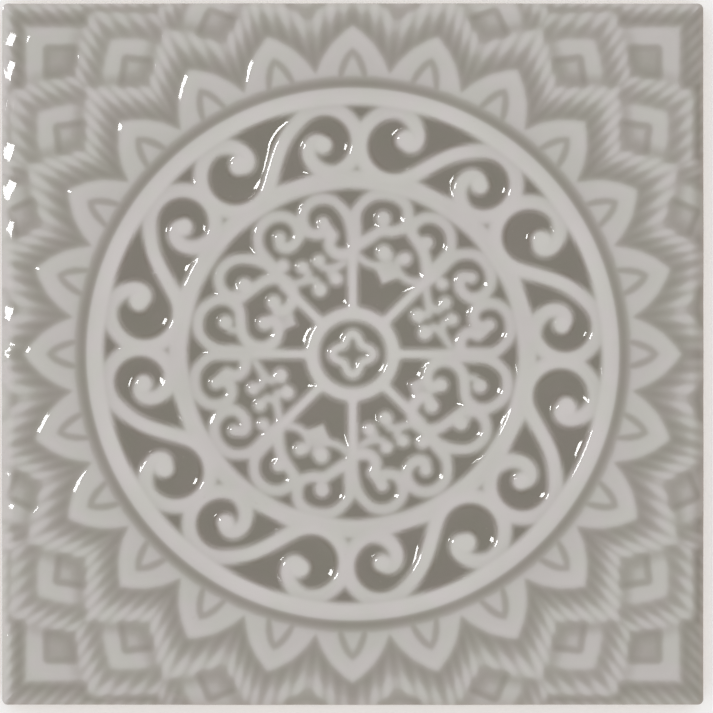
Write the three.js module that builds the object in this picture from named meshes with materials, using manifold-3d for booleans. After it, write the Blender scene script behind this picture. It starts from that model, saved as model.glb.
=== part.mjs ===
// Relief glazed wall tile: a medallion of lattice, running scrolls and overlapping petals.
// One fired piece. Millimetres, +Z up, lying on its back, medallion axis on the Z axis.
import * as THREE from 'three';
import { mergeVertices } from 'three/addons/utils/BufferGeometryUtils.js';
import Module from 'manifold-3d';

// Body
const tileSide = 148;
const tileThickness = 11.2; // back to the top of the highest ring
const reliefDepth = 3; // highest ring down to the ground between the scrolls
const cornerRadius = 1.2;
const rimRound = 1.1; // how far the glazed edge rounds in, all round

// Back: shallow grooves that key the tile to its bed
const keyWidth = 6;
const keyDepth = 0.9;
const keyPitch = 12.6;
const keyMargin = 9;
const keyPairs = 5;

// Rings, radius of the middle and width across the foot
const hubRadius = 8.5;
const hubWidth = 3.2;
const innerRingRadius = 36.4;
const innerRingWidth = 3.4;
const outerRingRadius = 54.35;
const outerRingWidth = 3.4;
const ringSteps = 56;

// Side slope of every raised form, as the run of its flank
const flank = 0.55;

// Heights below the highest ring
const innerRingDrop = 0.12;
const scrollDrop = 0.3;
const latticeDrop = 0.5;
const hubDrop = 0.6;
const petalDrop = 0.6;
const leafDrop = 0.85;
const backPetalDrop = 1.1;
const backLeafDrop = 1.35;
const cornerPetalDrop = 1.5;
const fieldDrop = 1.8;

// Hub flower with four lobes
const flowerRadius = 3.3;
const flowerLobe = 0.9;
const flowerWidth = 1.8;
const flowerHollow = 1.1;

// Spokes and lattice strokes
const spokeWidth = 2.2;
const spokeReach = 20.4;
const latticeWidth = 2.3;
const latticeStep = 2.8; // length of one straight facet along a stroke
const latticeReach = 34.7; // radius to which the strokes below are drawn

// Running scrolls, eight round the medallion
const scrollWidth = 2.7;
const scrollLap = 0.65; // how far a loop sinks into the rings on either side
const scrollTurn = 240; // degrees in which a loop winds in to its eye
const scrollSteps = 30;
const scrollEnd = 0.8; // share of that winding at which the eye takes over
const leadEye = { turn: 7.2, drift: -0.1, eye: [-0.7, -0.2], eyeRadius: 1.9 };
const tailEye = { turn: -11.3, drift: -0.6, eye: [1.8, 1.1], eyeRadius: 2.1 };

// Petals and leaves, twenty-four to a row; each reach is measured outward from the outer ring
const petalCount = 24;
const petalReach = 12.55;
const petalNotchReach = 2.55;
const petalBow = 1.25; // how far the sides of a petal bow outward
const petalBorder = 4.3; // tip of the petal to tip of the groove round its tongue
const tongueGap = 1.1;
const grooveDepth = 1;
const tongueRise = 0.75;
const leafReach = 22.15;
const leafNotchReach = 14.35;
const backPetalReach = 27.35;
const backPetalNotchReach = 17.95;
const backPetalBow = 1.1;
const backPocketInset = 3.6; // tip of the petal to the outer corner of its pocket
const backMoundInset = 7.1;
const backLeafReach = 33.55;
const backLeafNotchReach = 25.75;
const cornerPetalReach = 40.95;
const cornerPetalWidth = 13;
const cornerPocketInset = 5.6;
const cornerMoundInset = 9.5;
const backPocketSide = 6.2;
const cornerPocketSide = 7;
const pocketDepth = 1.1;
const pocketFlank = 0.8;
const moundDrop = 0.3; // mound below the petal that it lies in
const moundRadius = 2.3;
const moatWidth = 1.4; // ground left bare outside the outer ring
const petalFoot = 3.4; // run over which the petals rise out of that ground

const weld = 0.02; // edges shorter than this are closed up after the joins

const glaze = new THREE.MeshStandardMaterial({ color: 0xb7b4ae, roughness: 0.18 });

const wasm = await Module();
wasm.setup();

const top = tileThickness;
const ground = tileThickness - reliefDepth;
const root = outerRingRadius + outerRingWidth / 2;
const petalTip = root + petalReach;
const petalNotch = root + petalNotchReach;
const leafTip = root + leafReach;
const leafNotch = root + leafNotchReach;
const backPetalTip = root + backPetalReach;
const backPetalNotch = root + backPetalNotchReach;
const backLeafTip = root + backLeafReach;
const backLeafNotch = root + backLeafNotchReach;
const cornerPetalTip = root + cornerPetalReach;
const turn = (degrees) => THREE.MathUtils.degToRad(degrees);

function solid(geometry) {
  geometry.deleteAttribute('normal');
  geometry.deleteAttribute('uv');
  const joined = mergeVertices(geometry);
  return new wasm.Manifold(new wasm.Mesh({
    numProp: 3,
    vertProperties: joined.attributes.position.array,
    triVerts: new Uint32Array(joined.index.array),
  }));
}

const union = (solids) => wasm.Manifold.union(solids);

// A shape raised to a height, its top edge set in by the flank.
function raised(shape, height, rise = height - ground, run = flank, steps = 4) {
  const geometry = new THREE.ExtrudeGeometry(shape, {
    depth: 0.5,
    curveSegments: steps,
    bevelThickness: rise,
    bevelSize: run,
    bevelOffset: -run,
    bevelSegments: 1,
  });
  return geometry.translate(0, 0, height - rise - 0.5);
}

// A cutter with the shape as its floor, widening upward by the run.
function hollow(shape, floor, rise, run, steps = 4) {
  const geometry = new THREE.ExtrudeGeometry(shape, {
    depth: reliefDepth + 2,
    curveSegments: steps,
    bevelThickness: rise,
    bevelSize: run,
    bevelSegments: 1,
  });
  return geometry.translate(0, 0, floor + rise);
}

// A ridge of even width along a path that lies level at the given height.
function ridge(path, height, width, steps) {
  const depth = height - ground + 1;
  const topHalf = width / 2 - flank;
  const footHalf = topHalf + (flank * depth) / (height - ground);
  const section = new THREE.Shape([
    new THREE.Vector2(0, -topHalf),
    new THREE.Vector2(0, topHalf),
    new THREE.Vector2(depth, footHalf),
    new THREE.Vector2(depth, -footHalf),
  ]);
  const geometry = new THREE.ExtrudeGeometry(section, { steps, extrudePath: path });
  return geometry.translate(0, 0, height);
}

function boss(x, y, radius, height, sides = 10) {
  const rise = height - ground + 1;
  const button = new THREE.CylinderGeometry(radius - flank / 2, radius + flank / 2, rise, sides);
  return button.rotateX(turn(90)).translate(x, y, height - rise / 2);
}

function ring(radius, width, height) {
  const half = width / 2;
  const shoulder = half - flank;
  const section = [
    new THREE.Vector2(radius - half, ground - 1),
    new THREE.Vector2(radius + half, ground - 1),
    new THREE.Vector2(radius + half, ground),
    new THREE.Vector2(radius + shoulder, height),
    new THREE.Vector2(radius - shoulder, height),
    new THREE.Vector2(radius - half, ground),
    new THREE.Vector2(radius - half, ground - 1),
  ];
  return new THREE.LatheGeometry(section, ringSteps).rotateX(turn(90));
}

const spun = (geometry, degrees) => solid(geometry.clone().rotateZ(turn(degrees)));

function spunRow(geometry, count, offset = 0) {
  return Array.from({ length: count }, (_, k) => spun(geometry, offset + (360 / count) * k));
}

// Outline with a rounded corner at each end of the square.
function roundedSquare(side, radius) {
  const half = side / 2;
  const shape = new THREE.Shape();
  shape.moveTo(-half + radius, -half);
  shape.absarc(half - radius, -half + radius, radius, turn(-90), 0);
  shape.absarc(half - radius, half - radius, radius, 0, turn(90));
  shape.absarc(-half + radius, half - radius, radius, turn(90), turn(180));
  shape.absarc(-half + radius, -half + radius, radius, turn(180), turn(270));
  return shape;
}

// Body with its keyed back
function body() {
  const slab = new THREE.ExtrudeGeometry(roundedSquare(tileSide, cornerRadius), {
    depth: top - fieldDrop,
    bevelEnabled: false,
    curveSegments: 4,
  });
  const grooves = [];
  const length = tileSide - 2 * keyMargin;
  for (let k = 0; k < keyPairs; k += 1) {
    for (const side of [-1, 1]) {
      const key = new THREE.BoxGeometry(keyWidth, length, 2 * keyDepth);
      grooves.push(solid(key.translate(side * keyPitch * (k + 0.5), 0, 0)));
    }
  }
  return solid(slab).subtract(union(grooves));
}

// Everything is kept inside this block, whose upper edge is rounded.
function block() {
  const shape = roundedSquare(tileSide, cornerRadius);
  const geometry = new THREE.ExtrudeGeometry(shape, {
    depth: top,
    curveSegments: 4,
    bevelThickness: reliefDepth,
    bevelSize: rimRound,
    bevelOffset: -rimRound,
    bevelSegments: 3,
  });
  return solid(geometry.translate(0, 0, -reliefDepth));
}

// Hub: ring and four-lobed flower
function lobes(offset) {
  const points = [];
  for (let k = 0; k < 24; k += 1) {
    const angle = turn((360 / 24) * k);
    const radius = flowerRadius + flowerLobe * Math.cos(4 * angle) + offset;
    points.push(new THREE.Vector2(radius * Math.cos(angle), radius * Math.sin(angle)));
  }
  return new THREE.Shape(points);
}

function hub() {
  const height = top - hubDrop;
  const flower = solid(raised(lobes(flowerWidth / 2), height));
  const eye = solid(hollow(lobes(-flowerWidth / 2), height - flowerHollow, flowerHollow, flank / 2));
  return union([solid(ring(hubRadius, hubWidth, height)), flower.subtract(eye)]);
}

// Running scrolls: each leaves one eye, crosses over and winds in to the next
const bandInside = innerRingRadius + innerRingWidth / 2;
const bandOutside = outerRingRadius - outerRingWidth / 2;
const loopRadius = (bandOutside - bandInside - scrollWidth) / 2 + scrollLap;

function volute({ turn: place, drift, eye }) {
  const radius = (bandInside + bandOutside) / 2 + drift;
  const centre = new THREE.Vector2(0, radius).rotateAround(new THREE.Vector2(), turn(place));
  const eyeCentre = centre.clone().add(new THREE.Vector2(...eye));
  const at = (degrees, share) => centre.clone().lerp(eyeCentre, share).add(
    new THREE.Vector2(loopRadius * (1 - share), 0).rotateAround(new THREE.Vector2(), turn(degrees)),
  );
  return { at, eyeCentre };
}

function scroll() {
  const lead = volute(leadEye);
  const tail = volute(tailEye);
  const next = new THREE.Vector2();
  const points = [];
  for (let degrees = -60 - scrollTurn * scrollEnd; degrees < 140; degrees += 12) {
    points.push(lead.at(degrees, Math.max(0, (-60 - degrees) / scrollTurn)));
  }
  const away = lead.at(140, 0);
  const onto = tail.at(-75, 0).rotateAround(next, turn(45));
  const handle = loopRadius * 0.9;
  const stem = new THREE.CubicBezierCurve(
    away,
    new THREE.Vector2(handle, 0).rotateAround(next, turn(230)).add(away),
    new THREE.Vector2(handle, 0).rotateAround(next, turn(60)).add(onto),
    onto,
  );
  points.push(...stem.getPoints(8));
  for (let degrees = -87; degrees > -270 - scrollTurn * scrollEnd; degrees -= 12) {
    const share = Math.max(0, (-270 - degrees) / scrollTurn);
    points.push(tail.at(degrees, share).rotateAround(next, turn(45)));
  }
  return { points, lead: lead.eyeCentre, tail: tail.eyeCentre };
}

const level = (points) => new THREE.CatmullRomCurve3(
  points.map((point) => new THREE.Vector3(point.x, point.y, 0)), false, 'centripetal',
);

function scrolls() {
  const height = top - scrollDrop;
  const { points, lead, tail } = scroll();
  return union([
    ...spunRow(ridge(level(points), height, scrollWidth, scrollSteps), 8),
    ...spunRow(boss(lead.x, lead.y, leadEye.eyeRadius, height + 0.1, 9), 8),
    ...spunRow(boss(tail.x, tail.y, tailEye.eyeRadius, height + 0.1, 9), 8),
  ]);
}

// Lattice between hub and inner ring. Strokes are drawn in a frame with y pointing outward
// along the middle of a compartment and x clockwise; each drawing serves two compartments.
const lattice = [
  {
    angle: 22.5,
    strokes: [
      [[-8.1, 20.2], [-9.3, 23.6], [-10.8, 28], [-9.4, 31.8], [-6, 33.4], [-2.5, 32.5], [-0.9, 29.8],
        [-1.6, 27.2], [-4, 26.2], [-6.2, 27.2], [-5.5, 29.2]],
      [[8.1, 20.2], [9.5, 23.4], [11, 28], [9.2, 31.9], [5.2, 33.4], [2.1, 32.2], [0.9, 29.6],
        [1.4, 27.3], [3.2, 26.3], [4.9, 27], [5.4, 28.8]],
      [[5.4, 28.8], [6.4, 26.2], [5.1, 24.1], [5.9, 22.2], [8.3, 21.2]],
      [[-6.4, 23.1], [-8.8, 22.4]],
      [[-8.1, 20.2], [-5.6, 19.2], [-3, 19], [-1.7, 20.3], [-2.5, 22.1]],
      [[8.1, 20.2], [5.4, 19.4], [2.8, 19.3], [1.3, 20.4], [1.3, 22.1]],
      [[-4.4, 19], [-1.7, 17.9], [-2.3, 15.9]],
      [[4.4, 19.3], [1.4, 18], [1.7, 15.8]],
    ],
    beads: [[-5.3, 29.3, 1.1], [5.4, 29, 1.2], [6.4, 26, 1.1], [-6.4, 23.1, 1.1], [-2.5, 22.2, 1.2],
      [1.3, 22.2, 1.2], [-2.2, 15.7, 1.3], [1.7, 15.7, 1.4]],
  },
  {
    angle: 112.5,
    strokes: [
      [[-7.8, 20], [-8.6, 23.6], [-9.7, 28], [-8.3, 31.5], [-5, 33], [-1.9, 32], [-0.6, 29.8],
        [-1, 27.2], [-3.4, 25.8], [-5.3, 26.7], [-5, 28.5]],
      [[8.1, 19.6], [9.4, 22.6], [10, 27.5], [8.5, 31.4], [5.2, 32.9], [2.2, 31.9], [0.9, 29.6],
        [1.2, 27.3], [2.9, 26.1], [4.6, 26.4], [4.9, 28]],
      [[4.9, 28], [5.4, 24.8], [4.2, 23], [4.9, 20.9], [8.1, 19.6]],
      [[-6.4, 22.8], [-8.2, 22.2]],
      [[-7.8, 20], [-5.6, 18.4], [-3.4, 18.2], [-2.1, 19.3], [-2.8, 20.9]],
      [[8.1, 19.6], [5.2, 18.4], [2.7, 18.5], [1.1, 19.5], [0.9, 20.9]],
      [[-4.6, 18.2], [-1.4, 17.3], [-1.2, 15.2]],
      [[4.6, 18.3], [2.2, 17.5], [2.8, 15.9]],
    ],
    beads: [[-4.9, 28.5, 1.2], [4.9, 28, 1.2], [5.4, 24.8, 1.3], [-6.4, 22.8, 1.2], [-2.8, 21, 1.2],
      [0.9, 21, 1.2], [-1.2, 15.1, 1.4], [2.8, 15.9, 1.2]],
  },
  {
    angle: 67.5,
    strokes: [
      [[-8.2, 20.6], [-9.3, 24.2], [-10.7, 28.4], [-8.9, 32.3], [-4.9, 34], [-1.6, 33.2], [-0.2, 30.9],
        [-0.2, 28.8], [-2, 27.1], [-4.4, 26.2], [-6.3, 23.6], [-8.2, 21]],
      [[8.2, 20.6], [9.5, 24.2], [10.5, 28.3], [9, 31.6], [6, 33], [3.1, 32.3], [1.6, 30.3],
        [1.7, 28.4], [4.4, 26.5], [6.2, 24.8], [8.2, 21.4]],
      [[-4.4, 26.2], [-5, 28.8]],
      [[4.4, 26.5], [5.4, 27.9]],
      [[-8.2, 20.4], [-6, 19.2], [-3.8, 18.9], [-1.6, 19.6], [-0.6, 21.2], [-1, 22.6], [-2.2, 22.4]],
      [[8.2, 20.4], [6.8, 19.3], [4.8, 18.8], [2.6, 19.5], [1.3, 21.1], [1.5, 22.6], [2.6, 22.8]],
    ],
    beads: [[-5, 28.9, 1.5], [5.5, 27.7, 1.3], [-2.1, 22.3, 1.5], [2.5, 22.8, 1.3]],
    bud: [0.1, 18.6],
  },
  {
    angle: 157.5,
    strokes: [
      [[-7.9, 20], [-8.9, 23.4], [-9.9, 27.2], [-8.6, 31.2], [-4.6, 32.9], [-1, 31.4], [0.5, 28.6],
        [-0.5, 25.6], [-2.6, 24.4], [-5.2, 22.8], [-6.3, 20.3], [-5.7, 17.7], [-3.4, 16.1],
        [-1, 16.5], [0.1, 18], [-0.9, 19.6]],
      [[8.6, 20.4], [10.4, 23.4], [10.3, 27], [8.8, 30.6], [5.5, 32.3], [2.6, 31.4], [1.3, 28.9],
        [2.1, 26.2], [4.4, 24.7], [7.3, 22.8], [8.9, 20], [8.1, 17.3], [5.8, 16], [3.5, 16.4],
        [2.4, 17.8], [3.5, 19.4]],
      [[-4.2, 27.3], [-5.1, 26], [-4.6, 23.9]],
      [[4.9, 26.7], [3.4, 27.4], [1.6, 27.8]],
      [[-7.9, 20], [-5.9, 17.8]],
    ],
    beads: [[-4.1, 27.4, 1.4], [4.8, 26.7, 1.4], [-1.1, 19.7, 1.4], [3.7, 19.6, 1.4], [4, 25.6, 1]],
    bud: [1.2, 15.9],
  },
];

function latticeWork() {
  const height = top - latticeDrop;
  const scale = (innerRingRadius - innerRingWidth / 2) / latticeReach;
  const onto = ([x, y], angle) => new THREE.Vector2(y, -x).multiplyScalar(scale)
    .rotateAround(new THREE.Vector2(), turn(angle));
  const parts = [];
  for (const { angle, strokes, beads, bud } of lattice) {
    const make = (geometry) => parts.push(spun(geometry, 0), spun(geometry, 180));
    for (const stroke of strokes) {
      const path = level(stroke.map((point) => onto(point, angle)));
      const steps = Math.ceil(path.getLength() / latticeStep);
      make(ridge(path, height, latticeWidth, steps));
    }
    for (const [x, y, radius] of beads) {
      const centre = onto([x, y], angle);
      if (radius > latticeWidth / 2) make(boss(centre.x, centre.y, radius, height + 0.1, 6));
    }
    if (bud) {
      const corners = [[0, 2.4], [2.1, 0.2], [0, -3], [-2.1, 0.2]];
      const shape = new THREE.Shape(corners.map(([x, y]) => onto([bud[0] + x, bud[1] + y], angle)));
      make(raised(shape, height - 0.7));
    }
  }
  const spoke = new THREE.LineCurve3(
    new THREE.Vector3(hubRadius, 0, 0), new THREE.Vector3(spokeReach * scale, 0, 0),
  );
  parts.push(...spunRow(ridge(spoke, height + 0.05, spokeWidth, 1), 8));
  return union(parts);
}

// Petals and leaves, drawn pointing along +X
function pointed(tip, shoulder, base, halfWidth) {
  const shape = new THREE.Shape();
  shape.moveTo(base, -halfWidth);
  shape.quadraticCurveTo(tip - shoulder * 0.6, -shoulder, tip, 0);
  shape.quadraticCurveTo(tip - shoulder * 0.6, shoulder, base, halfWidth);
  return shape;
}

// One outline for a whole row: tips and notches in turn, the sides bowed outward.
function row(tip, notch, bow, steps, offset = 0) {
  const axis = new THREE.Vector2();
  const half = 180 / petalCount;
  const low = new THREE.Vector2(notch, 0).rotateAround(axis, turn(half));
  const along = new THREE.Vector2(tip, 0).sub(low);
  const bend = low.clone().addScaledVector(along, 0.5);
  bend.addScaledVector(new THREE.Vector2(-along.y, along.x).normalize(), 2 * bow);
  const side = new THREE.QuadraticBezierCurve(low, bend, new THREE.Vector2(tip, 0)).getPoints(steps);
  const points = [];
  for (let k = 0; k < petalCount; k += 1) {
    const angle = turn(offset + 2 * half * k);
    const fall = side.slice(1).reverse().map((point) => new THREE.Vector2(point.x, point.y));
    const rise = side.slice(0, -1).map((point) => new THREE.Vector2(point.x, -point.y));
    points.push(...rise.map((point) => point.rotateAround(axis, angle)));
    points.push(...fall.map((point) => point.rotateAround(axis, angle)));
  }
  return new THREE.Shape(points);
}

function petals() {
  const pocketTip = petalTip - petalBorder;
  const pocket = pointed(pocketTip, 2.6, root, 3.4);
  const tongue = pointed(pocketTip - tongueGap, 2.1, root, 2.3);
  const height = top - petalDrop;
  const floor = height - grooveDepth;
  const bodies = solid(raised(row(petalTip, petalNotch, petalBow, 3), height));
  const pockets = union(spunRow(hollow(pocket, floor, grooveDepth, flank * 0.6, 2), petalCount));
  const tongues = union(spunRow(
    raised(tongue, floor + tongueRise, tongueRise + 0.2, flank, 1), petalCount,
  ));
  return bodies.subtract(pockets).add(tongues);
}

// Well of the medallion: its level ground, and outside the outer ring the slope of the petals' feet
function well() {
  const edge = root + moatWidth;
  const section = [
    new THREE.Vector2(0, ground),
    new THREE.Vector2(edge, ground),
    new THREE.Vector2(edge + petalFoot, top),
    new THREE.Vector2(0, top),
  ];
  return solid(new THREE.LatheGeometry(section, 2 * petalCount).rotateX(turn(90)));
}

// Rows of petals and leaves, each a step lower than the one inside it
function rows() {
  const half = 180 / petalCount;
  const corners = [45, 135, 225, 315];
  const onCorners = (geometry) => union(corners.map((angle) => spun(geometry, angle)));
  const onBackPetals = (geometry) => union(spunRow(geometry, petalCount, half));

  const leaves = solid(raised(row(leafTip, leafNotch, 0, 1), top - leafDrop));

  const backHeight = top - backPetalDrop;
  const backPocket = recess(backPetalTip - backPocketInset, backPocketSide);
  const backPetals = solid(raised(row(backPetalTip, backPetalNotch, backPetalBow, 2, half), backHeight))
    .subtract(onBackPetals(hollow(backPocket, backHeight - pocketDepth, pocketDepth, pocketFlank, 1)))
    .add(onBackPetals(mound(backPetalTip - backMoundInset, backHeight - moundDrop)));

  const backLeaves = solid(raised(row(backLeafTip, backLeafNotch, 0, 1, half), top - backLeafDrop));

  const cornerHeight = top - cornerPetalDrop;
  const cornerPetal = pointed(cornerPetalTip, cornerPetalWidth, backLeafNotch, cornerPetalWidth);
  const cornerPocket = recess(cornerPetalTip - cornerPocketInset, cornerPocketSide);
  const cornerPetals = onCorners(raised(cornerPetal, cornerHeight, cornerHeight - ground, flank, 1))
    .subtract(onCorners(hollow(cornerPocket, cornerHeight - pocketDepth, pocketDepth, pocketFlank, 2)))
    .add(onCorners(mound(cornerPetalTip - cornerMoundInset, cornerHeight - moundDrop)));

  return union([body(), cornerPetals, backLeaves, backPetals, leaves, petals()]).subtract(well());
}

// A square recess outline standing on its corner, the outer corner on the X axis
function recess(tip, side) {
  const half = side / 2;
  const shape = new THREE.Shape();
  const reach = (tip - half * Math.SQRT2);
  const corner = (x, y) => new THREE.Vector2(x, y).rotateAround(new THREE.Vector2(), turn(45))
    .add(new THREE.Vector2(reach, 0));
  const a = corner(-half, -half);
  shape.moveTo(a.x, a.y);
  for (const [x, y, cx, cy, ex, ey] of [
    [half - 1, -half, half, -half, half, -half + 1],
    [half, half - 1, half, half, half - 1, half],
    [-half + 1, half, -half, half, -half, half - 1],
  ]) {
    const start = corner(x, y);
    const bend = corner(cx, cy);
    const end = corner(ex, ey);
    shape.lineTo(start.x, start.y);
    shape.quadraticCurveTo(bend.x, bend.y, end.x, end.y);
  }
  return shape;
}

function mound(radius, height) {
  const rise = 2;
  const shape = new THREE.CylinderGeometry(moundRadius * 0.45, moundRadius + 0.8, rise, 10);
  return shape.rotateX(turn(90)).translate(radius, 0, height - rise / 2);
}

const tile = rows()
  .add(union([
    solid(ring(outerRingRadius, outerRingWidth, top)),
    solid(ring(innerRingRadius, innerRingWidth, top - innerRingDrop)),
    hub(),
    scrolls(),
    latticeWork(),
  ]))
  .intersect(block());

const result = tile.asOriginal().simplify(weld).getMesh();
const geometry = new THREE.BufferGeometry();
geometry.setAttribute('position', new THREE.BufferAttribute(result.vertProperties, 3));
geometry.setIndex(new THREE.BufferAttribute(result.triVerts, 1));
geometry.computeVertexNormals();

const reliefTile = new THREE.Mesh(geometry, glaze);
reliefTile.name = 'relief_tile';

const part = new THREE.Group();
part.name = 'relief_glazed_tile';
part.add(reliefTile);
export default part;
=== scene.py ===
"""Relief glazed wall tile: a medallion of rings, running scrolls and lattice inside overlapping
petals and reeded leaves, under one coat of glaze, with bare clay low on the sides and on the back."""

import math
from types import SimpleNamespace

import bpy
import numpy as np
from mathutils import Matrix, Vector


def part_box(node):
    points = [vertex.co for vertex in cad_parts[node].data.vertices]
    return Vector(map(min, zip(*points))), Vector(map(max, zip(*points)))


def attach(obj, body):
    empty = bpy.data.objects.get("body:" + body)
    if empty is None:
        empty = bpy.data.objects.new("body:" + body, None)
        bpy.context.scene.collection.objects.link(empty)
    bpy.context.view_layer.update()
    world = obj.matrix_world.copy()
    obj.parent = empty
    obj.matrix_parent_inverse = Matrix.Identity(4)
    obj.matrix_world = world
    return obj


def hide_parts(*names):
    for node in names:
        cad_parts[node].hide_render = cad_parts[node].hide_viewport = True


bl_info = {
    "name": "Relief glazed tile",
    "version": (1, 0, 0),
    "blender": (4, 5, 0),
    "location": "View3D > Sidebar > Tile",
    "description": "Builds a relief glazed wall tile and its plain studio",
    "category": "Add Mesh",
}

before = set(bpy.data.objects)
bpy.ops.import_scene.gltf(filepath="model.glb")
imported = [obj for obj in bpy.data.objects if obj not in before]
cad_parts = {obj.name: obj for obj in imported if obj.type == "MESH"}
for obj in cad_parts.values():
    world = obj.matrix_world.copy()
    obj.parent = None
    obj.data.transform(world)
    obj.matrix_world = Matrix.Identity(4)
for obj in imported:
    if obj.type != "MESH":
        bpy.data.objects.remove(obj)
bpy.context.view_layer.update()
tile_low, tile_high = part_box("relief_tile")

MM = 0.001

# Lengths are in millimetres down to the studio's.
GRID = 0.2  # spacing of the points at which the face is worked out
MESH_GRID = 0.25  # spacing of the vertices before the mesh is thinned
FACE_TRIANGLES = 186000

# Drop of each form below the highest ring
INNER_RING_DROP = 0.3
SCROLL_DROP = 0.3
LATTICE_DROP = 0.5
HUB_DROP = 0.5
PETAL_DROP = 0.5
LEAF_DROP = 0.85
BACK_PETAL_DROP = 1.0
BACK_LEAF_DROP = 1.38
CORNER_PETAL_DROP = 1.4
BORDER_DROP = 1.7

# Petals and leaves, twenty-four to a row. Outward from the outer ring, a row's tips lie at its
# reach and the corners between them at its notch; its bow is how far their sides bulge. A pocket
# is a petal's inner field, whose own tip lies this far inside the petal's.
PETALS = 24
HALF_STEP = 180 / PETALS
PETAL_REACH = 12.25
PETAL_NOTCH = 2.25
PETAL_BOW = 1.25
PETAL_BORDER = 4.3
LEAF_REACH = 21.85
LEAF_NOTCH = 14.05
BACK_PETAL_REACH = 27.05
BACK_PETAL_NOTCH = 17.65
BACK_PETAL_BOW = 1.1
BACK_POCKET_INSET = 3.9
BACK_POCKET_SIDE = 7
BACK_LEAF_REACH = 33.8
BACK_LEAF_NOTCH = 26
CORNER_PETAL_REACH = 40.65
CORNER_POCKET_INSET = 5.0
CORNER_POCKET_SIDE = 7
POCKET_DEPTH = 0.8  # groove round the inner field of a petal
POCKET_EDGE = 0.7  # how far outside the field's outline the groove's wall begins, and its run
POCKET_WALL = 1.3
FIELD_EDGE = 0.3  # how far inside it the field begins to rise again, and over what run
FIELD_WALL = 1.4
PETAL_FIELD_RISE = 0.7  # how far it rises, for each row
BACK_FIELD_RISE = 0.5
CORNER_FIELD_RISE = 0.2
TONGUE_SHOULDER = 2.6  # the tongue-shaped field of a front petal
TONGUE_WIDTH = 3.4
TONGUE_FULLNESS = 0.6
DIAMOND_CORNER = 1.0  # rounding of the square field of the other petals
MOAT_DROP = 1.75  # floor of the groove between the outer ring and the petals
MOAT = 1.0  # outward from the ring, where the petals begin to rise out of it
PETAL_FOOT = 2.8  # and the run and curve of that rise
PETAL_FOOT_CURVE = 1.3

# Steps from one row up to the next: how far outside the row's outline each begins, and how far
# inside it ends
LEAF_STEP = (2.0, 0.4)
PETAL_STEP = (1.4, 0.3)
BACK_PETAL_STEP = (1.2, 1.1)
CORNER_PETAL_STEP = (1.7, 0.6)
BACK_SINK = 0.4  # how much lower the petals lie beside the row in front of them
CORNER_SINK = 0.25
SINK_EDGE = 1.8
SINK_RUN = 2.8

# Reeds of the leaves: distance between crests on a leaf's side toward the corner, and away from it
REED_PITCH = 2.15
WIDE_REED_PITCH = 2.8
REED_OFFSET = 1.2  # how far off a leaf's axis the one changes to the other
AXIS_REED_OFFSET = 1.75  # first crest on the leaves that lie on the tile's own axes
REED_HEIGHT = 0.22
REED_SHARE = 0.35  # how strong the reeds are already at a leaf's inner edge
BAND_RISE = 0.9  # how far a leaf climbs from its inner to its outer edge
BACK_BAND_RISE = 0.5  # and the leaves of the back row
BAND_START = 0.25  # share of a leaf's width where its climb begins, and the share that it takes
BAND_RUN = 0.65
BAND_LEAST = 0.05  # least width for which those shares are worked out
RIM_BAND_EDGE = 0.5  # how far outside the rim the border's own edge lies

# Half the run of the flank of each kind of stroke
RING_SOFT = 0.75
LATTICE_SOFT = 0.75
SCROLL_SOFT = 0.85
BEAD_SOFT = 0.7
FLOWER_SOFT = 0.65

# Small forms of the lattice
BEAD_GROWTH = 0.5  # glaze that every bead gained
BEAD_RISE = 0.1
SPOKE_RISE = 0.05
NECK_WIDTH = 2.3  # short strokes that end in beads
NECK_DROP = 0.3

# Scrolls: a leading and a trailing loop. "turn" and "drift" place a loop's middle, round the
# medallion in degrees and outward in millimetres. It is wound clockwise from "start", closes in
# over "wind" degrees after "wind_from", and ends in an eye of "radius", off its middle by "eye".
EYE_RISE = 0.2  # how far an eye stands above its stroke
STEM_REACH = 7  # pull of both ends of the stem that joins the two loops
WINDING_STEP = 6  # degrees from point to point
LEAD = {
    "turn": 7.4,
    "drift": -0.37,
    "lap": 2.3,  # how far the loop's stroke lies over the rings on each side
    "start": 132,
    "wind_from": -75,
    "wind": 172,
    "eye": (-0.3, -0.8),
    "radius": 2.3,
}
TAIL = {
    "turn": -11.4,
    "drift": -0.9,
    "lap": 2.7,
    "start": -63,
    "wind_from": -280,
    "wind": 150,
    "eye": (2.2, 1.25),
    "radius": 2.45,
}

# Hub flower
FLOWER_RADIUS = 3.5
FLOWER_LOBE = 0.9
FLOWER_WIDTH = 2.45
FLOWER_HOLLOW = 2.2  # depth of its inside below its outline
SPOKE_REACH = 20.4  # how far from the middle the spokes end

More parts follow.
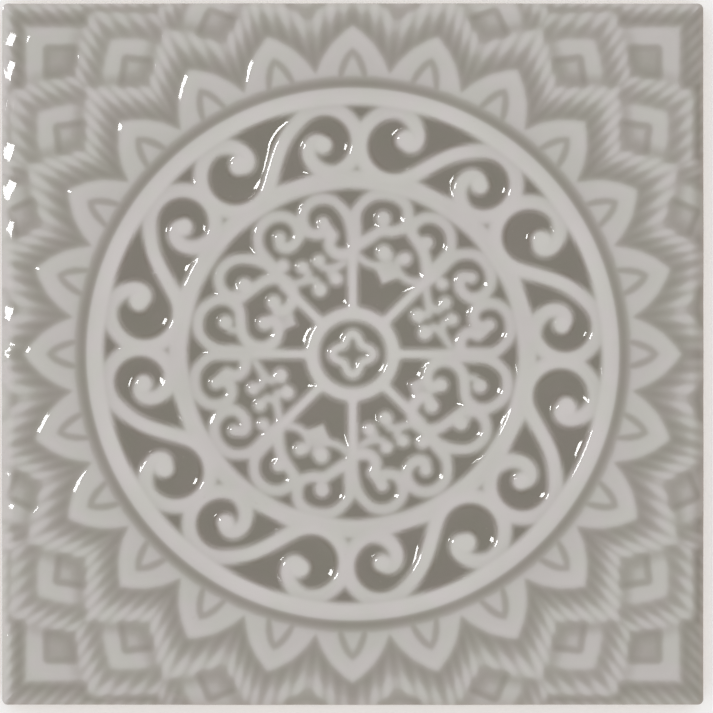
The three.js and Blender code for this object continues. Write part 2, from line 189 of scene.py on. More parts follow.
# Lattice strokes, drawn with y pointing outward along the middle of a compartment and x clockwise.
# Each drawing serves two compartments, half a turn apart.
LATTICE = [
    {
        "angle": 22.5,
        "strokes": [
            [(-8.1, 20.2), (-9.3, 23.6), (-10.8, 28), (-9.4, 31.8), (-6, 33.4), (-2.5, 32.5),
             (-0.9, 29.8), (-1.6, 27.2), (-4, 26.2), (-6.2, 27.2), (-5.5, 29.2)],
            [(8.1, 20.2), (9.5, 23.4), (11, 28), (9.2, 31.9), (5.2, 33.4), (2.1, 32.2),
             (0.9, 29.6), (1.4, 27.3), (3.2, 26.3), (4.9, 27), (5.4, 28.8)],
            [(5.4, 28.8), (6.4, 26.2), (5.1, 24.1), (5.9, 22.2), (8.3, 21.2)],
        ],
        "necks": [
            [(-6.4, 23.1), (-8.8, 22.4)],
            [(-8.1, 20.2), (-5.6, 19.2), (-3, 19), (-1.7, 20.3), (-2.5, 22.1)],
            [(8.1, 20.2), (5.4, 19.4), (2.8, 19.3), (1.3, 20.4), (1.3, 22.1)],
            [(-4.4, 19), (-1.7, 17.9), (-2.3, 15.9)],
            [(4.4, 19.3), (1.4, 18), (1.7, 15.8)],
        ],
        "beads": [(-5.3, 29.3, 1.1), (5.4, 29, 1.2), (6.4, 26, 1.1), (-6.4, 23.1, 1.1),
                  (-2.5, 22.2, 1.2), (1.3, 22.2, 1.2), (-2.2, 15.7, 1.3), (1.7, 15.7, 1.4)],
    },
    {
        "angle": 112.5,
        "strokes": [
            [(-7.8, 20), (-8.6, 23.6), (-9.7, 28), (-8.3, 31.5), (-5, 33), (-1.9, 32),
             (-0.6, 29.8), (-1, 27.2), (-3.4, 25.8), (-5.3, 26.7), (-5, 28.5)],
            [(8.1, 19.6), (9.4, 22.6), (10, 27.5), (8.5, 31.4), (5.2, 32.9), (2.2, 31.9),
             (0.9, 29.6), (1.2, 27.3), (2.9, 26.1), (4.6, 26.4), (4.9, 28)],
            [(4.9, 28), (5.4, 24.8), (4.2, 23), (4.9, 20.9), (8.1, 19.6)],
        ],
        "necks": [
            [(-6.4, 22.8), (-8.2, 22.2)],
            [(-7.8, 20), (-5.6, 18.4), (-3.4, 18.2), (-2.1, 19.3), (-2.8, 20.9)],
            [(8.1, 19.6), (5.2, 18.4), (2.7, 18.5), (1.1, 19.5), (0.9, 20.9)],
            [(-4.6, 18.2), (-1.4, 17.3), (-1.2, 15.2)],
            [(4.6, 18.3), (2.2, 17.5), (2.8, 15.9)],
        ],
        "beads": [(-4.9, 28.5, 1.2), (4.9, 28, 1.2), (5.4, 24.8, 1.3), (-6.4, 22.8, 1.2),
                  (-2.8, 21, 1.2), (0.9, 21, 1.2), (-1.2, 15.1, 1.4), (2.8, 15.9, 1.2)],
    },
    {
        "angle": 67.5,
        "strokes": [
            [(-8.2, 20.6), (-9.3, 24.2), (-10.7, 28.4), (-8.9, 32.3), (-4.9, 34), (-1.6, 33.2),
             (-0.2, 30.9), (-0.2, 28.8), (-2, 27.1), (-4.4, 26.2), (-6.3, 23.6), (-8.2, 21)],
            [(8.2, 20.6), (9.5, 24.2), (10.5, 28.3), (9, 31.6), (6, 33), (3.1, 32.3),
             (1.6, 30.3), (1.7, 28.4), (4.4, 26.5), (6.2, 24.8), (8.2, 21.4)],
        ],
        "necks": [
            [(-4.4, 26.2), (-5, 28.8)],
            [(4.4, 26.5), (5.4, 27.9)],
            [(-8.2, 20.4), (-6, 19.2), (-3.8, 18.9), (-1.6, 19.6), (-0.6, 21.2), (-1, 22.6),
             (-2.2, 22.4)],
            [(8.2, 20.4), (6.8, 19.3), (4.8, 18.8), (2.6, 19.5), (1.3, 21.1), (1.5, 22.6),
             (2.6, 22.8)],
        ],
        "beads": [(-5, 28.9, 1.5), (5.5, 27.7, 1.3), (-2.1, 22.3, 1.5), (2.5, 22.8, 1.3)],
        "bud": (0.1, 18.6),
    },
    {
        "angle": 157.5,
        "strokes": [
            [(-7.9, 20), (-8.9, 23.4), (-9.9, 27.2), (-8.6, 31.2), (-4.6, 32.9), (-1, 31.4),
             (0.5, 28.6), (-0.5, 25.6), (-2.6, 24.4), (-5.2, 22.8), (-6.3, 20.3), (-5.7, 17.7),
             (-3.4, 16.1), (-1, 16.5), (0.1, 18), (-0.9, 19.6)],
            [(8.6, 20.4), (10.4, 23.4), (10.3, 27), (8.8, 30.6), (5.5, 32.3), (2.6, 31.4),
             (1.3, 28.9), (2.1, 26.2), (4.4, 24.7), (7.3, 22.8), (8.9, 20), (8.1, 17.3),
             (5.8, 16), (3.5, 16.4), (2.4, 17.8), (3.5, 19.4)],
        ],
        "necks": [
            [(-4.2, 27.3), (-5.1, 26), (-4.6, 23.9)],
            [(4.9, 26.7), (3.4, 27.4), (1.6, 27.8)],
            [(-7.9, 20), (-5.9, 17.8)],
        ],
        "beads": [(-4.1, 27.4, 1.4), (4.8, 26.7, 1.4), (-1.1, 19.7, 1.4), (3.7, 19.6, 1.4),
                  (4, 25.6, 1)],
        "bud": (1.2, 15.9),
    },
]
BUD_WIDTH = 4.0  # half of each way across, to the foot
BUD_LENGTH = 3.8
BUD_EDGE = 0.35  # share of that which its flank takes
BUD_DROP = 0.3

# How the fired glaze lies over the pressed clay, and the painted shade and light along its borders
CLAY_SOFT = 0.3  # spread of the clay's edges, which the tone of the glaze follows
GLAZE_FLOW = 0.5  # spread of the glaze's levelling, which its surface follows
FILLET_FLOW = 1.6  # wider levelling, of which the corners at the foot of a wall take this share
FILLET_SHARE = 0.75
RIM_FALL = 0.4  # height over which the rim rounds down to the side
PILLOW_REACH = 3.2  # border over which the face falls away to the rim, by this much
PILLOW_FALL = 1.4
PILLOW_CORNER = 10  # radius of its contours in the corners
PILLOW_SWAY = 0.55  # how far they wander in and out, in waves of this length
PILLOW_WAVE = 8.45
PILLOW_SKEW = 0.4  # how much longer one flank of a wave is
PILLOW_SWELL = 31.9  # length over which the waves grow and shrink again, by this share
PILLOW_SWELL_SHARE = 0.5
PILLOW_PHASES = (4.41, 1.71)  # of the wave and of the swell, in radians
PILLOW_CALM = 7  # stretch without waves at each corner, and the run in which they start
PILLOW_CALM_RUN = 6
BORDER_FLOW = 2.6  # spread of the glaze's levelling near the rim
BORDER_REACH = 5.4  # how far in that goes, and the run over which it takes over from the usual one
BORDER_FADE = 1.2
MOAT_FLOW = 1.6  # spread of its levelling in the groove outside the outer ring
MOAT_REACH = 4.42  # and how far that goes to each side of the groove, and its run
MOAT_FADE = 3.4
HOLLOW_LEAST = -1.1  # depth below the average round about, where the glaze is thinnest
HOLLOW_MOST = 1.5  # and where it is deepest
HOLLOW_REACH = 6  # how far round each point the face is averaged to tell ridges from hollows
FINE_REACH = 1.2  # and the same for the reeds, which count for this share more; their darker valleys are partly glaze pooling and partly painted shade
FINE_SHARE = 0.8
FINE_MOST = 0.16  # and by no more than this
BORDER_SHADE_REACH = 3.4  # border over which painted shade darkens the glaze toward the right and bottom rims and painted light lightens it toward the left and top ones
BORDER_SHADE_ACROSS = 0.42
BORDER_SHADE_DOWN = 0.13
BORDER_SHADE_ALL_ROUND = -0.06
BREAK_SLOPE = 2.2  # slope at which the glaze breaks the most, and how much
BREAK_MOST = 0.6
RIM_BREAK_REACH = 1.2  # border over which it breaks at the rim, with painted shade making the break stronger on the right and weaker on the left
RIM_BREAK = 0.55
RIM_SHADE_ACROSS = 0.45
SIDE_DEPTH = 0.35  # glaze on the sides
SIDE_BREAK = 0.5

# Studio: bearing anticlockwise from +X and tilt from overhead, in degrees; lengths in metres
STRIP_BEARING = 157
STRIP_TILT = 69
STRIP_DISTANCE = 1.2
STRIP_WIDTH = 0.28
STRIP_HEIGHT = 0.45
LENS = 200
SENSOR = 36
VIEW_WIDTH = 0.14987  # what the photograph's frame takes in at the height of the rings
VIEW_OFFSET = (0.0008, -0.0005)


def length(name, value, description):
    """A size that a user may change, given here in millimetres and kept in metres."""
    return bpy.props.FloatProperty(
        name=name, description=description, default=value * MM, min=0, unit="LENGTH", precision=5,
    )


def colour(name, value, description):
    return bpy.props.FloatVectorProperty(
        name=name, description=description, default=value, subtype="COLOR", size=3, min=0, max=1,
    )


class TileSizes(bpy.types.PropertyGroup):
    side: length("Side", (tile_high.x - tile_low.x) / MM, "Length of each side")
    thickness: length("Thickness", (tile_high.z - tile_low.z) / MM, "Back to the highest ring")
    relief_depth: length("Relief depth", 3, "Highest ring down to the ground of the medallion")
    corner_radius: length("Corner radius", 1.2, "Rounding of the four corners, seen from above")
    rim_round: length("Rim rounding", 0.8, "How far the glazed rim rounds in")
    hub_radius: length("Hub radius", 8.55, "Middle of the ring round the flower")
    hub_width: length("Hub width", 3.6, "Width of that ring at half its height")
    inner_ring_radius: length("Inner ring radius", 36.7, "Middle of the ring inside the scrolls")
    outer_ring_radius: length("Outer ring radius", 54.2, "Middle of the ring outside the scrolls")
    inner_ring_width: length("Inner ring width", 4.6, "Width of that ring at half its height")
    outer_ring_width: length("Outer ring width", 4.3, "Width of that ring at half its height")
    scroll_width: length("Scroll width", 3.9, "Width of a scroll stroke at half its height")
    lattice_width: length("Lattice width", 3.05, "Width of a lattice stroke at half its height")
    spoke_width: length("Spoke width", 2.7, "Width of a spoke at half its height")
    key_width: length("Key width", 6, "Width of each groove in the back")
    key_depth: length("Key depth", 0.9, "Depth of each groove in the back")
    key_pitch: length("Key pitch", 12.6, "Distance between the grooves")
    key_margin: length("Key margin", 9, "Plain border left at the ends of the grooves")
    key_pairs: bpy.props.IntProperty(
        name="Key pairs", description="Grooves on each side of the middle", default=5, min=1,
    )


class GlazeLooks(bpy.types.PropertyGroup):
    thin: colour("Thin glaze", (0.545, 0.525, 0.51), "Glaze where it has run off the ridges")
    level: colour("Level glaze", (0.45, 0.434, 0.414), "Glaze on broad level places")
    full: colour("Full glaze", (0.34, 0.32, 0.292), "Glaze at its usual depth")
    pooled: colour("Pooled glaze", (0.192, 0.175, 0.142), "Glaze pooled in the hollows")
    # The breaking tint is also the colour of the painted shade on the right rim.
    breaking: colour("Breaking glaze", (0.40, 0.33, 0.29), "Warm tint on steep flanks and rims")
    clay: colour("Clay", (0.62, 0.50, 0.40), "Bare fired clay")
    glaze_line: length("Glaze line", 5.0, "Mean height at which the glaze stops on the sides")


class StudioLooks(bpy.types.PropertyGroup):
    floor: colour("Floor", (0.96, 0.96, 0.96), "Pale floor")
    sky: bpy.props.FloatProperty(
        name="Surround", description="Brightness of the white surround", default=1.0, min=0,
    )
    strip: bpy.props.FloatProperty(
        name="Strip light", description="Power of the strip light", default=8.0, min=0,
        unit="POWER",
    )


def millimetres(group):
    """The group's values, its lengths in millimetres."""
    values = SimpleNamespace()
    for key in group.__annotations__:
        value = getattr(group, key)
        if group.bl_rna.properties[key].unit == "LENGTH":
            value /= MM
        setattr(values, key, value)
    return values


# Plane geometry


def ease(share):
    """From 0 to 1 with a level start and end."""
    share = np.clip(share, 0, 1)
    return share * share * (3 - 2 * share)


def turned(points, degrees):
    points = np.asarray(points, float)
    c, s = math.cos(math.radians(degrees)), math.sin(math.radians(degrees))
    return np.stack([points[..., 0] * c - points[..., 1] * s,
                     points[..., 0] * s + points[..., 1] * c], axis=-1)


def toward(degrees):
    return np.array([math.cos(math.radians(degrees)), math.sin(math.radians(degrees))])


def bezier(points, steps):
    """Points along the Bezier curve with these control points."""
    t = np.linspace(0, 1, steps + 1)[:, None]
    order = len(points) - 1
    return sum(
        math.comb(order, k) * t**k * (1 - t) ** (order - k) * np.array(point, float)
        for k, point in enumerate(points)
    )


def drawn(points, steps=6):
    """A smooth stroke through the points, as short straight stretches."""
    points = np.array(points, float)
    run = np.vstack([2 * points[0] - points[1], points, 2 * points[-1] - points[-2]])
    path = [points[0]]
    for before, start, end, after in zip(run, run[1:], run[2:], run[3:]):
        a, b, c = (
            max(np.linalg.norm(q - p), 1e-6) ** 0.5
            for p, q in ((before, start), (start, end), (end, after))
        )
        leave = b * ((start - before) / a - (end - before) / (a + b) + (end - start) / b)
        arrive = b * ((end - start) / b - (after - start) / (b + c) + (after - end) / c)
        for t in np.linspace(0, 1, steps + 1)[1:]:
            path.append(
                (2 * t**3 - 3 * t**2 + 1) * start + (t**3 - 2 * t**2 + t) * leave
                + (3 * t**2 - 2 * t**3) * end + (t**3 - t**2) * arrive
            )
    return np.array(path)


def gap_to(x, y, line):
    """Distance from each point to the nearest stretch of the line."""
    nearest = np.full(np.shape(x), np.inf)
    for start, end in zip(line, line[1:]):
        way = end - start
        along = ((x - start[0]) * way[0] + (y - start[1]) * way[1]) / max(way @ way, 1e-12)
        along = np.clip(along, 0, 1)
        gap = np.hypot(x - start[0] - along * way[0], y - start[1] - along * way[1])
        np.minimum(nearest, gap, out=nearest)
    return nearest


def spread(field, sigma):
    """The field blurred by a bell curve, its edges carried outward; sigma in grid steps."""
    reach = int(math.ceil(3 * sigma))
    weights = np.exp(-0.5 * (np.arange(-reach, reach + 1) / sigma) ** 2)
    weights /= weights.sum()
    for axis in (0, 1):
        padding = [(0, 0), (0, 0)]
        padding[axis] = (reach, reach)
        wide = np.pad(field, padding, mode="edge")
        size = field.shape[axis]
        field = sum(
            weight * np.take(wide, range(k, k + size), axis=axis)
            for k, weight in enumerate(weights)
        )
    return field


# Forms of the face


class Relief:
    """Height of the glazed face over a square grid of points, in millimetres."""

    def __init__(self, size):
        self.size = size
        self.top = size.thickness
        self.ground = size.thickness - size.relief_depth
        self.root = size.outer_ring_radius + size.outer_ring_width / 2
        half = size.side / 2
        self.line = np.linspace(-half, half, int(round(size.side / GRID)) + 1)
        self.x, self.y = np.meshgrid(self.line, self.line)
        self.r = np.hypot(self.x, self.y)
        self.angle = np.degrees(np.arctan2(self.y, self.x))
        self.measure_rows()
        raw = np.maximum(self.petal_field(), self.medallion())
        step = self.line[1] - self.line[0]
        clay = spread(raw, CLAY_SOFT / step)
        # Fine hollows, such as the valleys between reeds, count extra: partly glaze pooling, partly
        # painted shade.
        fine = np.clip(spread(clay, FINE_REACH / step) - clay, -FINE_MOST, FINE_MOST)
        self.clay = clay
        self.hollow = spread(clay, HOLLOW_REACH / step) - clay + FINE_SHARE * fine
        glaze = spread(raw, GLAZE_FLOW / step)
        glaze = glaze + FILLET_SHARE * np.maximum(0, spread(glaze, FILLET_FLOW / step) - glaze)
        inset, _, _ = from_outline(self.x, self.y, half, PILLOW_CORNER)
        at_border = ease((BORDER_REACH - inset) / BORDER_FADE)
        glaze += at_border * (spread(raw, BORDER_FLOW / step) - glaze)
        from_moat = np.abs(self.r - self.root - MOAT / 2)
        at_moat = ease((MOAT_REACH - from_moat) / MOAT_FADE)
        glaze += at_moat * (spread(raw, MOAT_FLOW / step) - glaze)
        self.height = glaze - self.pillow(np.maximum(inset, 0))
        self.slope_y, self.slope_x = np.gradient(self.height, step)

    def pillow(self, inset):
        """Fall of the face toward the rim, where the glaze ran down in slow waves."""
        along = 2 * math.pi * (self.y + self.x / 2)
        wave = along / PILLOW_WAVE + PILLOW_PHASES[0]
        swell = 1 + PILLOW_SWELL_SHARE * np.sin(along / PILLOW_SWELL + PILLOW_PHASES[1])
        from_corner = self.size.side / 2 - np.minimum(np.abs(self.x), np.abs(self.y))
        swell *= ease((from_corner - PILLOW_CALM) / PILLOW_CALM_RUN)
        sway = PILLOW_SWAY * swell * np.sin(wave + PILLOW_SKEW * np.sin(wave))
        return PILLOW_FALL * ease((PILLOW_REACH - inset - sway) / PILLOW_REACH)

    def from_edge(self):
        return self.size.side / 2 - np.maximum(np.abs(self.x), np.abs(self.y))

    def wedge(self, offset):
        """The points folded into half a petal's wedge: along its axis, and across it."""
        step = 2 * HALF_STEP
        turn = (self.angle - offset) % step
        turn = np.radians(np.minimum(turn, step - turn))
        return self.r * np.cos(turn), self.r * np.sin(turn)

    def row(self, reach, notch, bow, offset=0):
        """How far each point lies inside the outline of a row of petals; negative outside it."""
        tip = np.array([self.root + reach, 0])
        low = (self.root + notch) * toward(HALF_STEP)
        way = tip - low
        bend = (tip + low) / 2 + 2 * bow * np.array([-way[1], way[0]]) / np.linalg.norm(way)
        side = bezier([tip, bend, low], 8)
        along, across = self.wedge(offset)
        edge = np.interp(
            np.arctan2(across, along), np.arctan2(side[:, 1], side[:, 0]), np.hypot(*side.T),
        )
        gap = gap_to(along, across, side)
        return np.where(self.r < edge, gap, -gap)

    def pointed(self, tip, shoulder, half_width):
        """How far each point lies inside a pointed tongue whose foot is at the outer ring."""
        bend = (tip - TONGUE_FULLNESS * shoulder, shoulder)
        side = bezier([(self.root, half_width), bend, (tip, 0)], 8)
        along, across = self.wedge(0)
        edge = np.interp(along, side[:, 0], side[:, 1], left=half_width, right=-1)
        return np.where(across < edge, 1, -1) * gap_to(along, across, side)

    def diamond(self, along, across, corner, side):
        """How far each point lies inside a soft-cornered square that stands on its corner."""
        soft = DIAMOND_CORNER
        middle = corner - side / math.sqrt(2)
        a = np.abs(along - middle + across) / math.sqrt(2) - side / 2 + soft
        b = np.abs(along - middle - across) / math.sqrt(2) - side / 2 + soft
        return soft - np.hypot(np.maximum(a, 0), np.maximum(b, 0)) - np.minimum(np.maximum(a, b), 0)

    def measure_rows(self):
        self.petals = self.row(PETAL_REACH, PETAL_NOTCH, PETAL_BOW)
        self.leaves = self.row(LEAF_REACH, LEAF_NOTCH, 0)
        self.back_petals = self.row(BACK_PETAL_REACH, BACK_PETAL_NOTCH, BACK_PETAL_BOW, HALF_STEP)
        self.back_leaves = self.row(BACK_LEAF_REACH, BACK_LEAF_NOTCH, 0, HALF_STEP)
        corner = (self.root + CORNER_PETAL_REACH) / math.sqrt(2)
        self.corner_petals = corner - np.maximum(np.abs(self.x), np.abs(self.y))

    def over(self, face, form, inside, step=LEAF_STEP):
        """The face with a form laid on it, whose edge steps up over this run."""
        foot, shoulder = step
        return face + (form - face) * ease((inside + foot) / (foot + shoulder))

    def sunk(self, level, front, depth):
        """A row's level, lower by this depth beside the row in front of it."""
        return level - depth * (1 - ease((-front - SINK_EDGE) / SINK_RUN))

    def reeds(self, offset):
        """Fine reeds that run along each leaf's own axis, between -1 and 1."""
        step = 2 * HALF_STEP
        axis = offset + step * np.round((self.angle - offset) / step)
        across = self.r * np.sin(np.radians(self.angle - axis))
        place = axis % 90
        inward = np.where(place > 45, -across, across)
        phase = np.where(
            inward > REED_OFFSET,
            (inward - REED_OFFSET) / REED_PITCH,
            (inward - REED_OFFSET) / WIDE_REED_PITCH,
        )
        phase = np.where(place == 45, across / REED_PITCH, phase)
        on_axis = (np.abs(across) - AXIS_REED_OFFSET) / WIDE_REED_PITCH
        phase = np.where(place == 0, on_axis, phase)
        return np.cos(2 * math.pi * phase)

    def band(self, drop, inner, outer, reeds, rise=BAND_RISE):
        """A leaf showing as a band that climbs from the inner outline to its own edge."""
        from_inner, from_outer = np.maximum(inner, 0), np.maximum(outer, 0)
        share = from_inner / np.maximum(from_inner + from_outer, BAND_LEAST)
        climb = self.top - drop - rise * (1 - ease((share - BAND_START) / BAND_RUN))
        return climb + REED_HEIGHT * reeds * ease(REED_SHARE + share)

    def pocketed(self, plateau, pocket, rise):
        """A petal's level with a groove round its inner field, which rises again by this much."""
        groove = POCKET_DEPTH * ease((pocket + POCKET_EDGE) / POCKET_WALL)
        return plateau - groove + rise * ease((pocket - FIELD_EDGE) / FIELD_WALL)

    def petal_field(self):
        """Everything outside the medallion, from the rim border inward."""
        root = self.root
        x, y = np.abs(self.x), np.abs(self.y)
        along, across = (x + y) / math.sqrt(2), (x - y) / math.sqrt(2)
        beyond = np.minimum(-self.back_leaves, -self.corner_petals)
        reeds = np.cos(2 * math.pi * across / REED_PITCH)
        border = self.band(BORDER_DROP, beyond, self.from_edge() + RIM_BAND_EDGE, reeds)

        level = self.sunk(self.top - CORNER_PETAL_DROP, self.back_leaves, CORNER_SINK)
        tip = root + CORNER_PETAL_REACH - CORNER_POCKET_INSET
        pocket = self.diamond(along, across, tip, CORNER_POCKET_SIDE)
        corner_petal = self.pocketed(level, pocket, CORNER_FIELD_RISE)
        face = self.over(border, corner_petal, self.corner_petals, CORNER_PETAL_STEP)

        back_leaf = self.band(
            BACK_LEAF_DROP, -self.back_petals, self.back_leaves, self.reeds(HALF_STEP),
            BACK_BAND_RISE,
        )
        face = self.over(face, back_leaf, self.back_leaves)

        along, across = self.wedge(HALF_STEP)
        level = self.sunk(self.top - BACK_PETAL_DROP, self.leaves, BACK_SINK)
        tip = root + BACK_PETAL_REACH - BACK_POCKET_INSET
        pocket = self.diamond(along, across, tip, BACK_POCKET_SIDE)
        back_petal = self.pocketed(level, pocket, BACK_FIELD_RISE)
        face = self.over(face, back_petal, self.back_petals, BACK_PETAL_STEP)

        leaf = self.band(LEAF_DROP, -self.petals, self.leaves, self.reeds(0))
        face = self.over(face, leaf, self.leaves)
        face = self.over(face, self.petal(), self.petals, PETAL_STEP)
        return np.minimum(face, self.well())

    def petal(self):
        """A front petal: raised border, dark groove, and a low tongue in the middle."""
        tip = self.root + PETAL_REACH - PETAL_BORDER
        tongue = self.pointed(tip, TONGUE_SHOULDER, TONGUE_WIDTH)
        return self.pocketed(self.top - PETAL_DROP, tongue, PETAL_FIELD_RISE)

    def well(self):
        """Ground of the medallion, and outside the outer ring the slope of the petals' feet."""
        climb = np.clip((self.r - self.root - MOAT) / PETAL_FOOT, 0, 1)
        foot = self.top - MOAT_DROP * (1 - climb) ** PETAL_FOOT_CURVE
        return np.where(self.r > self.size.outer_ring_radius, foot, self.ground)

    # Medallion

    def gap_to_lines(self, lines, reach):
        """Distance to the nearest of the lines, as far as the reach."""
        gap = np.full(self.x.shape, 9.0)
        for line in lines:
            for start, end in zip(line, line[1:]):
                low = np.minimum(start, end) - reach
                high = np.maximum(start, end) + reach
                (i0, j0), (i1, j1) = (np.searchsorted(self.line, corner) for corner in (low, high))
                part = (slice(j0, j1), slice(i0, i1))
                near = gap_to(self.x[part], self.y[part], np.array([start, end]))
                gap[part] = np.minimum(gap[part], near)
        return gap

    def stroke(self, face, lines, level, width, soft):
        """The face with rounded ridges along the lines: this wide at half height, with soft flanks."""
        gap = self.gap_to_lines(lines, width)
        ridge = self.ground + (level - self.ground) * ease((width / 2 + soft - gap) / (2 * soft))
        return np.maximum(face, ridge)

    def ring(self, face, radius, width, level):
        share = ease((width / 2 + RING_SOFT - np.abs(self.r - radius)) / (2 * RING_SOFT))
        return np.maximum(face, self.ground + (level - self.ground) * share)

    def dome(self, face, centre, radius, level, soft):
        """The face with a rounded button at the centre."""
        reach = radius + soft
        low, high = np.asarray(centre) - reach, np.asarray(centre) + reach
        (i0, j0), (i1, j1) = (np.searchsorted(self.line, corner) for corner in (low, high))
        part = (slice(j0, j1), slice(i0, i1))
        gap = np.hypot(self.x[part] - centre[0], self.y[part] - centre[1])
        button = self.ground + (level - self.ground) * ease((reach - gap) / (2 * soft))
        face[part] = np.maximum(face[part], button)
        return face

    def medallion(self):
        size = self.size
        face = np.full(self.x.shape, self.ground)
        face = self.scrolls(face)
        face = self.lattice(face)
        face = self.hub(face)
        level = self.top - INNER_RING_DROP
        face = self.ring(face, size.inner_ring_radius, size.inner_ring_width, level)
        return self.ring(face, size.outer_ring_radius, size.outer_ring_width, self.top)

    def volute(self, form, place):
        """A scroll's loop in its place: its radius, its middle, and its eye's middle."""
        size = self.size
        inside = size.inner_ring_radius + size.inner_ring_width / 2
        outside = size.outer_ring_radius - size.outer_ring_width / 2
        loop = (outside - inside - size.scroll_width) / 2 + form["lap"]
        centre = turned((0, (inside + outside) / 2 + form["drift"]), form["turn"] + place)
        return loop, centre, centre + turned(form["eye"], place)

    def winding(self, form, place):
        """Points clockwise round a loop from where the stem meets it, and on into its eye."""
        loop, centre, eye = self.volute(form, place)
        points = []
        for degrees in np.arange(form["start"], form["wind_from"] - form["wind"], -WINDING_STEP):
            share = max(0, (form["wind_from"] - degrees) / form["wind"])
            ray = loop * (1 - share) * toward(degrees + place)
            points.append(centre + (eye - centre) * share + ray)
        return points

    def scroll_line(self):
        """Middle of one scroll: its leading loop, the stem, and its trailing loop."""
        leading, trailing = self.winding(LEAD, 0), self.winding(TAIL, 45)
        lean = STEM_REACH * toward(LEAD["start"] + 90)
        settle = STEM_REACH * toward(TAIL["start"] + 45 + 90)
        stem = bezier([leading[0], leading[0] + lean, trailing[0] + settle, trailing[0]], 12)
        return np.vstack([leading[:0:-1], stem, trailing[1:]])

    def scrolls(self, face):
        level = self.top - SCROLL_DROP
        line = self.scroll_line()
        places = [45 * k for k in range(8)]
        lines = [turned(line, place) for place in places]
        face = self.stroke(face, lines, level, self.size.scroll_width, SCROLL_SOFT)
        for place in places:
            for form in (LEAD, TAIL):
                _, _, eye = self.volute(form, place)
                face = self.dome(face, eye, form["radius"], level + EYE_RISE, SCROLL_SOFT)
        return face

    def lattice(self, face):
        level = self.top - LATTICE_DROP
        strokes, necks = [], []
        for drawing in LATTICE:
            for half_turn in (0, 180):
                # A drawing's y points along the compartment's axis, which is X before it is turned.
                place = drawing["angle"] + half_turn - 90
                strokes += [turned(drawn(stroke), place) for stroke in drawing["strokes"]]
                necks += [turned(drawn(neck), place) for neck in drawing["necks"]]
                for x, y, radius in drawing["beads"]:
                    bead = turned((x, y), place)
                    face = self.dome(face, bead, radius + BEAD_GROWTH, level + BEAD_RISE, BEAD_SOFT)
                if "bud" in drawing:
                    face = self.bud(face, drawing["bud"], place, level - BUD_DROP)
        spokes = [
            np.array([toward(45 * k) * self.size.hub_radius, toward(45 * k) * SPOKE_REACH])
            for k in range(8)
        ]
        face = self.stroke(face, strokes, level, self.size.lattice_width, LATTICE_SOFT)
        face = self.stroke(face, necks, level - NECK_DROP, NECK_WIDTH, LATTICE_SOFT)
        return self.stroke(face, spokes, level + SPOKE_RISE, self.size.spoke_width, LATTICE_SOFT)

    def bud(self, face, middle, place, level):
        """The face with a soft pointed lozenge."""
        x, y = np.moveaxis(turned(np.stack([self.x, self.y], axis=-1), -place), -1, 0)
        reach = np.abs(x - middle[0]) / BUD_WIDTH + np.abs(y - middle[1]) / BUD_LENGTH
        return np.maximum(face, self.ground + (level - self.ground) * ease((1 - reach) / BUD_EDGE))

    def hub(self, face):
        level = self.top - HUB_DROP
        face = self.ring(face, self.size.hub_radius, self.size.hub_width, level)
        angle = np.radians(np.arange(0, 361, 5))
        radius = FLOWER_RADIUS + FLOWER_LOBE * np.cos(4 * angle)
        outline = np.stack([radius * np.cos(angle), radius * np.sin(angle)], axis=-1)
        inside = self.r < FLOWER_RADIUS + FLOWER_LOBE * np.cos(4 * np.radians(self.angle))
        face = np.where(inside, np.maximum(face, level - FLOWER_HOLLOW), face)
        return self.stroke(face, [outline], level, FLOWER_WIDTH, FLOWER_SOFT)

    def read(self, field, x, y):
        """The field's value at any points of the face, between those of the grid."""
        step = self.line[1] - self.line[0]
        last = len(self.line) - 2
        u = (np.clip(x, self.line[0], self.line[-1]) - self.line[0]) / step
        v = (np.clip(y, self.line[0], self.line[-1]) - self.line[0]) / step
        i = np.minimum(u.astype(int), last)
        j = np.minimum(v.astype(int), last)
        u, v = u - i, v - j
        return (
            field[j, i] * (1 - u) * (1 - v) + field[j, i + 1] * u * (1 - v)
            + field[j + 1, i] * (1 - u) * v + field[j + 1, i + 1] * u * v
        )


# Mesh of the tile, in millimetres until it is handed to Blender

RIM_STEPS = [0, 0.02, 0.06, 0.12, 0.2, 0.3, 0.42, 0.56, 0.74, 0.95]  # closer lines at the rim
RIM_BORDER = 1.2  # and where the even ones begin
CORNER_STEPS = [0, 0.2, 0.45, 0.75]
FOOT_ROUND = 0.45  # rounding of the lower edge
FOOT_TURNS = [0, 30, 60]
KEY_WALL = [0, 0.15, 0.35, 0.5]  # lines across the wall of a groove in the back
BACK_BORDER = [3, 6]  # lines along the border of the back
BACK_LINES = np.arange(-60.0, 61, 5)  # and across the grooves
SIDE_LEVELS = [5.0, 4.0, 2.4]  # the highest lies under the lowest place of the rim
SIDE_ROOM = 0.3

# Where the face, the sides and the back lie in the flat picture, as shares of its width
FLAT_GAP = 0.01
FLAT_FACE = 0.74
FLAT_SIDE = 0.68
FLAT_SIDE_START = 0.765
FLAT_SIDE_PITCH = 0.058
FLAT_BACK_START = 0.77
FLAT_BACK = 0.22


def from_outline(x, y, half, radius):
    """How far each point lies inside a rounded square, and the way out of it from there."""
    u, v = np.abs(x) - half + radius, np.abs(y) - half + radius
    corner = np.hypot(np.maximum(u, 0), np.maximum(v, 0))
    inset = radius - corner - np.minimum(np.maximum(u, v), 0)
    in_corner = (u > 0) & (v > 0)
    out_x = np.where(in_corner, u / np.maximum(corner, 1e-9), u >= v) * np.sign(x)
    out_y = np.where(in_corner, v / np.maximum(corner, 1e-9), u < v) * np.sign(y)
    return inset, out_x, out_y


